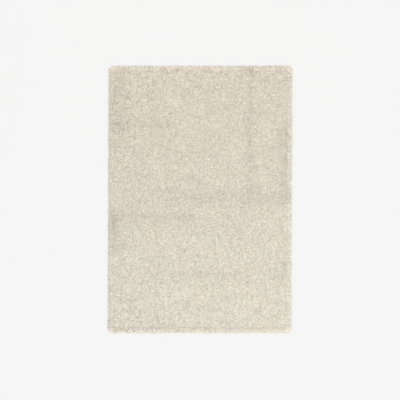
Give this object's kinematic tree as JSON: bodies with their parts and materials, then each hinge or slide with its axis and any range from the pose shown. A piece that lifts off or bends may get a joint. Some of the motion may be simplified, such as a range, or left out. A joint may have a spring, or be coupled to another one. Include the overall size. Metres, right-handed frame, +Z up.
{
  "type": "shag rug",
  "caption": "Rectangular deep-pile rug with soft round corners: a flat woven back under a dense, lumpy cream pile whose locks hang over the edge all round.",
  "frame": {"origin": "middle of the rug's flat back, on the floor", "axes": "+Z up from the floor, +Y along the rug's length, +X across its width"},
  "size_m": [1.3671, 1.9809, 0.0425],
  "materials": {
    "cream_pile": "deep soft yarn pile, matt with a faint sheen"
  },
  "bodies": {
    "root": {"shag_rug": "cream_pile"}
  },
  "joints": []
}
